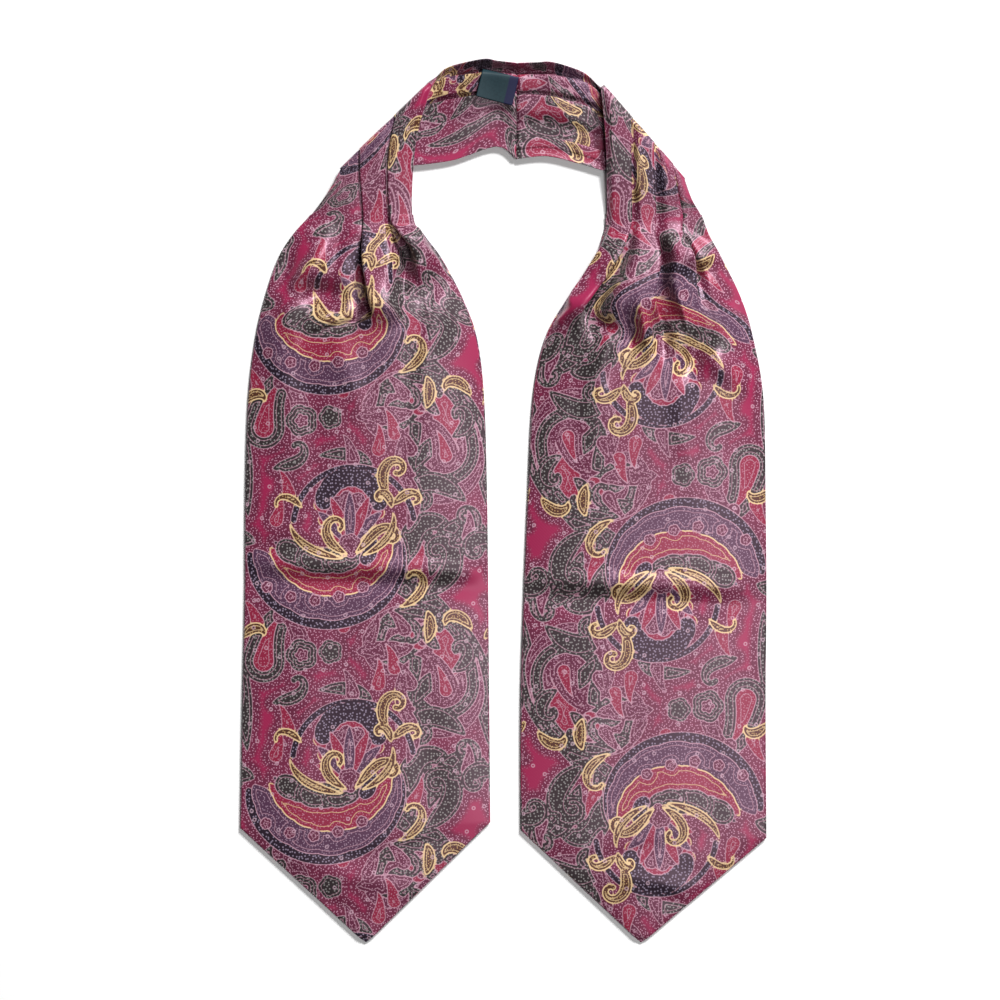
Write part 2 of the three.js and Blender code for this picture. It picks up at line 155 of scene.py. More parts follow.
def between(rows, place):
    """Smooth table row at each place: in every column, the cubic through the four rows around it."""
    rows = np.asarray(rows, float)
    last = len(rows) - 1
    first = np.clip(np.floor(place).astype(int), 0, last - 1)
    share = (place - first)[:, None]
    before, start, end, after = (rows[np.clip(first + k, 0, last)] for k in (-1, 0, 1, 2))
    square = 2 * before - 5 * start + 4 * end - after
    cube = 3 * start - before - 3 * end + after
    return start + 0.5 * share * (end - before + share * (square + share * cube))


TURN_REST, TURN_SLANT = 6, np.sqrt(0.5)
HIGH_RADIUS, LOW_RADIUS = 3, 0.8


def corner_rows(half, angle):
    """Rows round the turned corner: the band rolls through half a circle over the line from its high to
    its low end, with a radius that shrinks towards the low end."""
    turn = half["turn"]
    high, low = np.array(turn["high"]), np.array(turn["low"])
    line = (low - high) / np.linalg.norm(low - high)
    outward = np.array([-line[1], line[0]])
    angle = np.atleast_1d(angle)
    ends = []
    for end, rest, radius in ((high, TURN_REST, HIGH_RADIUS), (low, BAND_REST, LOW_RADIUS)):
        spot = end + radius * (np.sin(angle) - 1)[:, None] * outward
        ends += [spot, rest + radius * (1 + np.cos(angle))[:, None]]
    shut = np.zeros(len(turn["folds"]))
    fixed = np.tile((0, TURN_SLANT, *turn["folds"], *shut), (len(angle), 1))
    return np.hstack(ends + [fixed])


def stations(half, place):
    """Rows at each place along the silk, from -1 at the blade's tip and 0 at its shoulder to the seam behind
    the neck: smooth through the tables, round the corner by its own formula, and straight to the tip."""
    pleats = len(half["depths"])
    start, end = corner_rows(half, 0), corner_rows(half, np.pi)
    flat = between(np.vstack([half["flat"], start]), np.clip(place, 0, TURN_START))
    turned = np.clip((place - TURN_START) / (TURN_END - TURN_START), 0, 1)
    corner = corner_rows(half, np.pi * turned)
    inside = between(np.vstack([end, half["inside"]]), np.clip(place - TURN_END, 0, CENTRE_BACK - TURN_END))
    on_flat, in_corner = (place <= TURN_START)[:, None], (place < TURN_END)[:, None]
    row = np.where(on_flat, flat, np.where(in_corner, corner, inside))
    row[:, 8:8 + 2 * pleats] = np.clip(row[:, 8:8 + 2 * pleats], 0, 1)
    tip = np.clip(-place, 0, 1)[:, None]
    across, along = half["tip"]
    row[:, :3] += tip * ((across - TIP_WIDTH / 2, along, FRONT_REST) - row[:, :3])
    row[:, 3:6] += tip * ((across + TIP_WIDTH / 2, along, FRONT_REST) - row[:, 3:6])
    row[:, 6] *= 1 - tip[:, 0] ** 2
    return row


def unpleated(row, share, creases):
    """Cloth before pleating: a straight line from inner to outer edge, raised to a crown that falls as the
    cube of the distance from the middle, and by creases that are bells of two widths, turned."""
    share = np.asarray(share)
    point = row[:, None, :3] + (row[:, None, 3:6] - row[:, None, :3]) * share[..., None]
    soft = np.zeros(share.shape)
    for across, along, long, wide, turn, high in creases:
        cosine, sine = np.cos(np.radians(turn)), np.sin(np.radians(turn))
        dx, dy = point[..., 0] - across, point[..., 1] - along
        ahead, aside = dx * cosine + dy * sine, dy * cosine - dx * sine
        soft += high * np.exp(-(ahead / long) ** 2 - (aside / wide) ** 2)
    from_middle = np.abs(2 * share - 1)
    crown = row[:, 6:7]
    point[..., 2] += crown * (1 - from_middle ** 3) + np.minimum(1, crown) * soft * (1 - from_middle ** 6)
    return point


def ease(share):
    """Smooth step from 0 to 1."""
    share = np.clip(share, 0, 1)
    return share * share * (3 - 2 * share)


# Columns on a pleat's climb, run, fold, tuck, lower turn and way out, when there are three pleats
PLEAT_COLUMNS = np.array([9, 14, 7, 5, 7, 4])
MOST_PLEATS, OUTER_COLUMNS = 3, 48
OUTER_FROM = 0.8  # share of the width at which the columns past an opened last pleat begin
SPARE, FLAT_RUN, FOOT_RUN = 2, 1.4, 1  # mm kept beside a fold, before it and past its foot
SHORT_CLIMB, LONG_CLIMB = 5, 0.45  # least climb in mm, and as a share of the way to a later fold
MOUTH_ROUNDS, OPEN_ROUNDS = 1.6, 1.5  # how much rounder a fold gets as it gapes and as it opens
GAPE, OUTER_BULGE = 6.0, 0.5  # mm that the cloth sinks below a gaping fold, and bulges past the last one
SPREADS_FROM = 0.45  # opening from which the columns spread


def pleat_section(row, depths):
    """Places across and heights of a pleated row. A pleat climbs, runs flat to its fold, turns back under
    on a half circle, tucks in by its depth, and turns out again below. As it opens, both turns take in less
    of the half circle, the tuck shrinks, the cloth below the fold gapes and the columns spread evenly."""
    pleats = len(depths)
    width = row[:, 7] * np.linalg.norm(row[:, 3:6] - row[:, :3], axis=1)
    folds, opening = row[:, 8:8 + pleats], row[:, 8 + pleats:8 + 2 * pleats]
    edges = folds * width[:, None]
    kept = (np.array(depths) / 2 + SPARE) * (1 - opening)
    inner = (edges[:, :-1] + edges[:, 1:]) / 2 - kept[:, 1:]
    starts = np.hstack([0 * width[:, None], inner, OUTER_FROM * width[:, None]])
    columns = np.round(PLEAT_COLUMNS * MOST_PLEATS / pleats).astype(int)
    climb, run, over, back_in, under, out = (np.arange(1, n + 1)[None] / n for n in columns)
    place, height = [0 * width[:, None]], [0 * width[:, None]]
    begin = sunk = 0 * width[:, None]
    for k, depth in enumerate(depths):
        shut = 1 - opening[:, k:k + 1]
        turn = np.pi * shut
        mouth = np.sin(np.pi * np.sqrt(1 - shut))
        radius = LAYER / 2 * (1 + MOUTH_ROUNDS * mouth + OPEN_ROUNDS * (1 - shut))
        tuck = depth * shut ** 2
        gape = GAPE * mouth
        drop = 2 * radius * (1 - np.cos(turn)) + tuck * np.sin(turn)
        edge = edges[:, k:k + 1]
        top = edge - radius * np.sin(np.minimum(turn, np.pi / 2))
        far = top + radius * np.sin(turn)
        back = far + tuck * np.cos(turn)
        low = radius * (1 - np.cos(turn))
        hidden = np.where(turn > np.pi / 2, 1 - np.sin(turn), 0)
        slope = np.maximum(np.maximum(SHORT_CLIMB, drop), LONG_CLIMB * (edge - begin) if k else 0)
        rise = np.minimum(begin + slope, np.minimum(top, back - radius * hidden) - FLAT_RUN)
        foot = back + radius * np.sin(turn)
        beyond = np.maximum(edge + 0.8 * LAYER, foot + FOOT_RUN)
        left = 1 - under
        places = np.hstack([
            begin + (rise - begin) * climb,
            rise + (top - rise) * run,
            top + radius * np.sin(over * turn),
            far + (back - far) * back_in,
            foot - radius * np.sin(left * turn),
            foot + (beyond - foot) * out,
        ])
        heights = np.hstack([
            (drop + sunk) * ease(climb) - sunk,
            drop + 0 * run,
            drop - radius * (1 - np.cos(over * turn)),
            drop - low + (2 * low - drop - gape) * back_in,
            radius * (1 - np.cos(left * turn)) - gape,
            0 * out - gape,
        ])
        count = places.shape[1]
        first, last = starts[:, k:k + 1], starts[:, k + 1:k + 2]
        spread = first + (last - first) * np.arange(1, count + 1) / count
        open_flat = ease((1 - shut - SPREADS_FROM) / (1 - SPREADS_FROM))
        place.append(places + (spread - places) * open_flat)
        height.append(heights)
        begin, sunk = place[-1][:, -1:], gape
    share = np.arange(1, OUTER_COLUMNS + 1)[None] / OUTER_COLUMNS
    place.append(begin + (width[:, None] - begin) * share)
    height.append(OUTER_BULGE * shut * np.sin(np.pi * np.sqrt(share)) - sunk * (1 - ease(4 * share)))
    return np.hstack(place) / np.maximum(width[:, None], 1e-6), np.hstack(height)


PRESSED, PRESSED_BEFORE = 0.9, 0.3


def pressed(place):
    """Share of its thickness that the cloth keeps: all of it, but a tenth in the middle of the corner."""
    begin, end = TURN_START - PRESSED_BEFORE, TURN_END + PRESSED_BEFORE
    return 1 - PRESSED * np.sin(np.pi * np.clip((place - begin) / (end - begin), 0, 1))


def pleated(half, place, creases):
    """Middle of the cloth on a grid: the unpleated cloth, moved by the pleats' heights along the normal
    that it has without creases. The pleats are pressed flatter round the corner."""
    row, step = stations(half, place), 0.02
    share, height = pleat_section(row, half["depths"])
    height = height * pressed(place)[:, None]
    ahead = stations(half, np.minimum(place + step, CENTRE_BACK))
    behind = stations(half, np.maximum(place - step, -1))
    across = unpleated(row, share + step, []) - unpleated(row, share - step, [])
    along = unpleated(ahead, share, []) - unpleated(behind, share, [])
    normal = np.cross(across, along)
    normal /= np.maximum(np.linalg.norm(normal, axis=2, keepdims=True), 1e-9)
    return unpleated(row, share, creases) + normal * height[..., None]


def offset(grid, distance):
    """Grid moved along its own normals, which are across the columns and rows of the grid."""
    normal = np.cross(np.gradient(grid, axis=1), np.gradient(grid, axis=0))
    normal /= np.maximum(np.linalg.norm(normal, axis=2, keepdims=True), 1e-9)
    return grid + normal * distance


FINE_STEPS = 1500


def even_places(half, start, end, spacing):
    """Places between two stations, evenly spaced along the middle of the cloth, and how far along each
    one lies."""
    fine = np.linspace(start, end, FINE_STEPS)
    middle = unpleated(stations(half, fine), np.full((FINE_STEPS, 1), 0.5), [])[:, 0]
    length = np.concatenate([[0], np.cumsum(np.linalg.norm(np.diff(middle, axis=0), axis=1))])
    even = np.linspace(0, length[-1], int(round(length[-1] / spacing)) + 1)
    return np.interp(even, length, fine), even


def edge_roll(edge_from, edge_to, outward, bulge, steps):
    """Round edge between two skins: half a turn of an ellipse that bulges outwards."""
    angle = np.pi / 2 - np.pi * np.arange(1, steps)[None, :, None] / steps
    middle, half = (edge_from + edge_to)[:, None] / 2, (edge_from - edge_to)[:, None] / 2
    return middle + half * np.sin(angle) + bulge * outward[:, None] * np.cos(angle)


def edges_outward(row):
    """Level direction from the inner to the outer edge of each row."""
    outward = row[:, 3:6] - row[:, :3]
    outward[:, 2] = 0
    return outward / np.linalg.norm(outward, axis=1, keepdims=True)


TIP_SPACING, BLADE_SPACING, BACK_COLUMNS = 1.25, 1.22, 72
TIP_HEIGHT, TIP_CLOSES = 1.2, 4  # height of the closed tip, and the length over which it closes
BACK_LIFT, LIFT_LENGTH = 1.4, 8  # rise of the back at its stitched end, and the length over which it rises
EDGE_BULGE, EDGE_STEPS, LEAST_CLEAR = 0.8, 5, 0.1


def blade_rings(half):
    """Flat tube: the pleated front, a round edge, the flat back and a second round edge, ring by ring from
    the tip to the stitched end. The tube closes to nothing at its tip, and its back lifts at its end."""
    tip, tip_along = even_places(half, -1, 0, TIP_SPACING)
    rest, rest_along = even_places(half, 0, NECK_LINE, BLADE_SPACING)
    place = np.concatenate([tip, rest[1:]])
    along = np.concatenate([tip_along - tip_along[-1], rest_along[1:]]) - rest_along[-1]
    row = stations(half, place)
    front = offset(pleated(half, place, half["creases"]), SILK / 2)
    front[..., 2] = np.maximum(front[..., 2], FRONT_REST - SILK / 2 + LEAST_CLEAR)
    closing = ease((along - along[0]) / TIP_CLOSES)[:, None]
    front[..., 2] = TIP_HEIGHT + (front[..., 2] - TIP_HEIGHT) * closing
    share = np.linspace(1, 0, BACK_COLUMNS)[None, :, None]
    back = row[:, None, :3] + (row[:, None, 3:6] - row[:, None, :3]) * share
    lifted = BACK_REST + BACK_LIFT * ease(along / LIFT_LENGTH + 1)
    back[..., 2] = TIP_HEIGHT + (lifted[:, None] - TIP_HEIGHT) * closing
    outward = edges_outward(row)
    bulge = EDGE_BULGE * closing[:, :, None]
    outer = edge_roll(front[:, -1], back[:, 0], outward, bulge, EDGE_STEPS)
    inner = edge_roll(back[:, -1], front[:, 0], -outward, bulge, EDGE_STEPS)
    rings = np.concatenate([front, outer, back, inner, front[:, :1]], axis=1)
    return rings, along, front.shape[1]


# The print: own paisley on a repeat that is one blade wide. Columns of a motif: fill, line, start across
# and along, heading, length, even turn, curl at the end, width, shape, scallops, core
REPEAT_ACROSS, REPEAT_ALONG, REPEAT_START = 152.0, 146.0, 110
FAR, MOTIF_MARGIN, LINE_REACH = 30.0, 9, 1.2
FILLS = ("leaf", "navy", "violet", "rose", "plum", "brown")
BOWL = [
    ("navy", "pink", -74, -30, -62, 128, 124, 30, 37, "leaf", 0, None),
    ("violet", "pink", -70, -28, -60, 118, 118, 30, 31, "leaf", 9, None),
    ("rose", "gold", -60, -27, -54, 96, 106, 30, 19, "leaf", 11, None),
    ("navy", "pink", -58, -23, -34, 70, 66, 0, 13, "leaf", 0, None),
    ("leaf", "pink", -50, -28, -30, 13, 20, 0, 13, "band", 2, None),
    ("leaf", "pink", -35, -34, -14, 13, 20, 0, 14, "band", 2, None),
    ("leaf", "pink", -19, -36, 10, 11, 20, 0, 13, "band", 2, None),
    ("leaf", "pink", -70, -24, 150, 34, 80, 280, 14, "hook", 0, None),
    ("navy", "pink", 0, -34, 40, 11, 60, 0, 8, "band", 2, None),
    *[("plum", "pink", -62 + 15 * k, -48 - 12 * np.sin(np.pi * (k + 0.5) / 5),
       0, 0, 0, 0, 7, "rosette", 5, None) for k in range(5)],
]
PALMETTE = [
    ("navy", "pink", -45, -10, 84, 108, -164, 0, 4.0, "band", 0, None),
    ("rose", "gold", -10, 0, 0, 0, 0, 0, 43, "rosette", 11, None),
    ("navy", "pink", -26, 2, 84, 50, -168, 0, 11, "band", 7, None),
    ("plum", "pink", -10, -6, 0, 0, 0, 0, 28, "rosette", 9, None),
    *[("rose" if k % 2 else "violet", "pink", -10, -26, 90 + 17 * k, 34 - 1.2 * k * k, 9 * k,
       0, 7, "leaf", 0, None) for k in (-3, 3, -2, 2, -1, 1, 0)],
    ("plum", "pink", -10, -26, 0, 0, 0, 0, 15, "rosette", 7, None),
]
GILT = [
    ("brown", "gold", -12, -31, 156, 40, -64, -230, 7.0, "hook", 0, None),
    ("brown", "gold", -14, -34, 172, 42, -30, -40, 5.0, "leaf", 0, None),
    ("brown", "gold", -6, -30, 42, 42, 46, -300, 7.0, "hook", 0, None),
    ("brown", "gold", -2, -32, 22, 36, 46, 40, 4.6, "leaf", 0, None),
    ("brown", "gold", 14, 4, 118, 42, -60, -260, 8.0, "hook", 0, None),
    ("brown", "gold", 17, 0, 40, 24, 10, -230, 6.4, "hook", 0, None),
    ("brown", "gold", 16, -2, 96, 20, 50, 230, 6.0, "hook", 0, None),
    ("brown", "gold", 38, -86, 70, 20, 30, 20, 7.0, "leaf", 0, None),
    ("brown", "gold", 22, -64, 26, 36, 40, 180, 6.4, "hook", 0, None),
    ("brown", "gold", 66, -78, 120, 24, 50, 120, 7.0, "leaf", 0, None),
    ("brown", "gold", 74, -84, 60, 20, -60, -100, 6.4, "leaf", 0, None),
    ("brown", "gold", -40, -2, 130, 22, 40, 120, 4.8, "hook", 0, None),
]
FOLIAGE = [
    ("leaf", "pink", 62, -140, 82, 130, 66, 40, 17, "leaf", 0, None),
    ("leaf", "pink", -74, -8, 94, 96, 14, 30, 15, "leaf", 0, None),
    ("plum", "pink", 46, -118, 82, 100, 112, 280, 56, "drop", 0, None),
    ("leaf", "pink", 48, -112, 84, 92, 110, 270, 46, "drop", 0, ("plum", 8.0)),
    ("rose", "pink", 50, -100, 84, 50, 90, 240, 18, "drop", 0, None),
    ("leaf", "pink", 54, -104, 20, 34, 90, 200, 11, "hook", 0, None),
    ("leaf", "pink", 46, -90, 150, 30, -80, -200, 10, "hook", 0, None),
    ("leaf", "pink", 30, -52, 106, 78, -34, -330, 18, "hook", 0, None),
    ("leaf", "pink", 40, -44, 74, 72, -26, -320, 17, "hook", 0, None),
    ("leaf", "pink", 36, -58, 34, 66, 40, 300, 16, "hook", 0, None),
    ("leaf", "pink", 62, 2, 136, 60, 44, 320, 16, "hook", 0, None),
    ("leaf", "pink", 30, 20, 70, 50, -50, -280, 13, "hook", 0, None),
    ("leaf", "pink", 54, -24, 20, 40, 60, 260, 12, "hook", 0, None),
    ("plum", "pink", 26, -16, 66, 40, 50, 30, 9, "leaf", 0, None),
    ("leaf", "pink", -64, -98, 84, 56, -30, -170, 27, "drop", 0, ("rose", 7.0)),
    ("plum", "pink", -46, -106, 60, 44, 60, 60, 10, "leaf", 5, None),
    ("leaf", "pink", -40, -94, 0, 0, 0, 0, 20, "rosette", 5, ("plum", 6.0)),
    ("leaf", "pink", -22, -92, 0, 0, 0, 0, 15, "rosette", 5, None),
    ("plum", "pink", -6, -92, 6, 36, -20, 40, 11, "leaf", 4, None),
    ("leaf", "pink", 8, -74, 0, 38, 30, -260, 10, "hook", 0, None),
    ("leaf", "pink", -58, 22, 16, 34, -24, 240, 10, "hook", 0, None),
    ("leaf", "pink", -30, 30, 10, 44, -20, -120, 9, "leaf", 0, None),
    ("plum", "pink", 50, 30, 100, 34, 30, 70, 17, "drop", 0, ("rose", 4.5)),
]

# Columns of a small drop: start across and along, heading
SMALL_DROPS = [
    (-54, -70, 84), (18, -102, 100), (2, -84, 60), (-56, -10, 70), (28, 34, 110),
    (8, 34, 80), (-8, 28, 100), (30, -40, 60), (-30, -74, 96), (-14, -76, 70),
    (24, -78, 120), (-48, 6, 100), (64, -20, 80), (-68, -74, 110),
]
DROPS = [("rose" if k % 2 else "plum", "pink", *drop, 17, 10, 30, 8.5, "drop", 0, None)
         for k, drop in enumerate(SMALL_DROPS)]
MOTIFS = FOLIAGE + DROPS + BOWL + PALMETTE + GILT
PRINT_FIELDS = (*FILLS, "gilt", "near")


def spine(at, heading, length, turn, curl):
    """Points along a motif: its heading turns evenly, and more and more towards its end as a cube."""
    share = np.linspace(0, 1, 72)
    angle = np.radians(heading + turn * share + curl * share ** 3)
    steps = length / (len(share) - 1) * np.stack([np.cos(angle), np.sin(angle)], axis=1)
    return share, np.array(at) + np.cumsum(steps, axis=0) - steps[0]


def half_widths(shape, wide, share, scallops):
    """Half width along a motif: a leaf is pointed at both ends, a drop narrows from a round head, a hook
    swells to a round end and a band is even. Scallops add a row of round bumps."""
    forms = {
        "leaf": np.sin(np.pi * share) ** 0.75,
        "drop": (1 - share) ** 0.8,
        "hook": 0.1 + 0.9 * np.sin(np.pi * share ** 0.8) ** 1.2 * (1 - 0.45 * share) + 0.3 * share ** 4,
        "band": np.ones(len(share)),
    }
    bumps = 1 + 0.13 * np.abs(np.sin(np.pi * scallops * share)) if scallops else 1
    return wide / 2 * forms[shape] * bumps


def motif_distance(x, y, motif):
    """Signed distance to a motif: to the rounds of its half width along its spine, or to a rosette with a
    scalloped rim."""
    u, v, heading, length, turn, curl, wide, shape, scallops = motif[2:11]
    if shape == "rosette":
        round_it = np.arctan2(y - v, x - u) + np.radians(heading)
        return np.hypot(x - u, y - v) - wide / 2 * (0.9 + 0.14 * np.abs(np.sin(scallops * round_it / 2)))
    share, points = spine((u, v), heading, length, turn, curl)
    reach = half_widths(shape, wide, share, scallops)
    gaps = np.hypot(x[:, None] - points[:, 0], y[:, None] - points[:, 1]) - reach
    return gaps.min(axis=1)


def motif_box(motif, margin):
    """Lowest and highest corner of a motif, with a margin."""
    u, v, heading, length, turn, curl, wide = motif[2:9]
    points = spine((u, v), heading, length, turn, curl)[1]
    return points.min(axis=0) - wide * 0.6 - margin, points.max(axis=0) + wide * 0.6 + margin


def stamp(fields, inside, distance, fill, line, core):
    """Prints one motif over what is there: its area is cut out of every colour and added to its own, and
    near its edge the colour of its outline is noted."""
    for name in FILLS:
        kept = np.maximum(fields[name][inside], -distance)
        fields[name][inside] = np.minimum(kept, distance) if name == fill else kept
    if core:
        colour, depth = core
        fields[fill][inside] = np.maximum(fields[fill][inside], -(distance + depth))
        fields[colour][inside] = np.minimum(fields[colour][inside], distance + depth)
    at_line = inside[distance < LINE_REACH]
    fields["gilt"][at_line] = 1.0 if line == "gold" else 0.0
    fields["near"][inside] = np.minimum(fields["near"][inside], np.maximum(distance, 0))


def printed(across, along):
    """Fields of the print at points of the flat cloth, in mm: for each colour the signed distance to its
    area, where the outlines are gilt, and the distance to the nearest motif."""
    x = (across.ravel() + REPEAT_ACROSS / 2) % REPEAT_ACROSS - REPEAT_ACROSS / 2
    y = along.ravel() % REPEAT_ALONG - REPEAT_START
    fields = {name: np.full(x.shape, FAR) for name in PRINT_FIELDS}
    fields["gilt"][:] = 0
    copies = [(i, j) for i in (-REPEAT_ACROSS, 0, REPEAT_ACROSS) for j in (-REPEAT_ALONG, 0, REPEAT_ALONG)]
    for motif in MOTIFS:
        low, high = motif_box(motif, MOTIF_MARGIN)
        for i, j in copies:
            near = (x > low[0] + i) & (x < high[0] + i) & (y > low[1] + j) & (y < high[1] + j)
            inside = np.flatnonzero(near)
            if inside.size:
                distance = motif_distance(x[inside] - i, y[inside] - j, motif)
                stamp(fields, inside, distance, motif[0], motif[1], motif[11])
    return {name: values.reshape(across.shape) for name, values in fields.items()}


def grid_faces(rows, columns):
    """Corner numbers of the four-sided faces of a grid of points."""
    index = np.arange(rows * columns).reshape(rows, columns)
    corners = index[:-1, :-1], index[:-1, 1:], index[1:, 1:], index[1:, :-1]
    return np.stack(corners, axis=-1).reshape(-1, 4)


BAKE_MARGIN = 1.01


def silk_mesh(name, rings, along, front_columns, half):
    """Mesh of a ring grid in metres, mirrored to its side, with the flat cloth's coordinates and the
    print's fields at each point. Across is measured round the ring from the middle of the front."""
    rows, columns = rings.shape[:2]
    steps = np.linalg.norm(np.diff(rings, axis=1), axis=2)
    around = np.concatenate([np.zeros((rows, 1)), np.cumsum(steps, axis=1)], axis=1)
    across = around - around[:, front_columns - 1:front_columns] / 2
    along = np.broadcast_to(along[:, None], across.shape)
    sign = half["side"]
    cloth_across, cloth_along = -across, -sign * along
    points = rings.reshape(-1, 3) * (sign * MM, MM, MM)
    quads = grid_faces(rows, columns)
    if sign < 0:
        quads = quads[:, ::-1]
    mesh = bpy.data.meshes.new(name)
    mesh.from_pydata(points, [], quads)
    mesh.update()
    mesh.shade_smooth()
    cloth = mesh.attributes.new("cloth", "FLOAT_VECTOR", "POINT")
    flat = np.stack([cloth_across, cloth_along, 0 * cloth_across], axis=-1)
    cloth.data.foreach_set("vector", flat.astype(np.float32).ravel())
    for field, values in printed(cloth_across, cloth_along).items():
        layer = mesh.attributes.new(field, "FLOAT", "POINT")
        layer.data.foreach_set("value", values.astype(np.float32).ravel())
    bake = mesh.uv_layers.new(name="OFBake")
    width, length = around.max(), np.ptp(along)
    size = max(width, length) * BAKE_MARGIN
    spots = np.stack([around / size, (along - along.min()) / size], axis=-1).reshape(-1, 2)
    bake.uv.foreach_set("vector", spots[quads.ravel()].astype(np.float32).ravel())
    piece = bpy.data.objects.new(name, mesh)
    bpy.context.scene.collection.objects.link(piece)
    edges = [np.diff(rings, axis=1)[:-1], np.diff(rings, axis=0)[:, :-1]]
    area = np.linalg.norm(np.cross(*edges), axis=2).sum() * MM * MM
    return piece, length * MM, area


def srgb(*levels):
    """Linear colour of display levels from 0 to 255."""
    levels = np.array(levels) / 255
    return (*np.where(levels <= 0.04045, levels / 12.92, ((levels + 0.055) / 1.055) ** 2.4), 1.0)


def add_node(tree, kind, **inputs):
    """New node with its plain settings and its inputs, each a value or another node's output."""
    node = tree.nodes.new(kind)
    for key, value in inputs.items():
        if key.startswith("set_"):
            setattr(node, key[4:], value)
            continue
        socket = node.inputs[int(key[1:])] if key[0] == "i" and key[1:].isdigit() else node.inputs[key]
        if isinstance(value, bpy.types.NodeSocket):
            tree.links.new(value, socket)
        else:
            socket.default_value = value
    return node


def blended(tree, share, below, above):
    """Colour above over colour below, by a share."""
    node = add_node(tree, "ShaderNodeMix", set_data_type="RGBA", i0=share, i6=below, i7=above)
    return node.outputs[2]


def falling(tree, value, edge, soft):
    """1 below an edge and 0 above it, with a soft step."""
    node = add_node(tree, "ShaderNodeMapRange", i0=value, i1=edge - soft, i2=edge + soft, i3=1.0, i4=0.0)
    return node.outputs[0]


def worked_out(tree, operation, *values):
    """Result of one sum on shader values."""
    inputs = {f"i{k}": value for k, value in enumerate(values)}
    return add_node(tree, "ShaderNodeMath", set_operation=operation, **inputs).outputs[0]


def times(tree, first, second):
    """Product of two shares."""
    return worked_out(tree, "MULTIPLY", first, second)


def attribute(tree, name):
    """Node that reads a value kept at the points of a mesh."""
    return add_node(tree, "ShaderNodeAttribute", set_attribute_name=name)


def dots(tree, cloth, spacing, size, loose):
    """Round printed dots at an even spacing, a little out of line: near the middles of random cells."""
    cells = add_node(tree, "ShaderNodeTexVoronoi", set_voronoi_dimensions="2D", Vector=cloth,
                     Scale=1 / spacing, Randomness=loose)
    return falling(tree, cells.outputs["Distance"], size / 2 / spacing, 0.07)


# Dots: spacing and size in mm, and how far out of line. Outline: half width, wider by so much where it is
# gold, and its soft edge. Florets: spacing in mm, then radius and line as shares of it.
FINE_DOTS, BOLD_DOTS = (1.75, 0.7, 0.9), (2.1, 0.95, 0.8)
PINK_LINE, GOLD_WIDER, LINE_SOFT, INNER_LINE = 0.24, 0.14, 0.12, 0.2
FLORET_SPACING, FLORET_RADIUS, FLORET_LINE = 17, 0.055, 0.02
STIPPLE_REACH, STIPPLE_SOFT = 5.4, 1.8


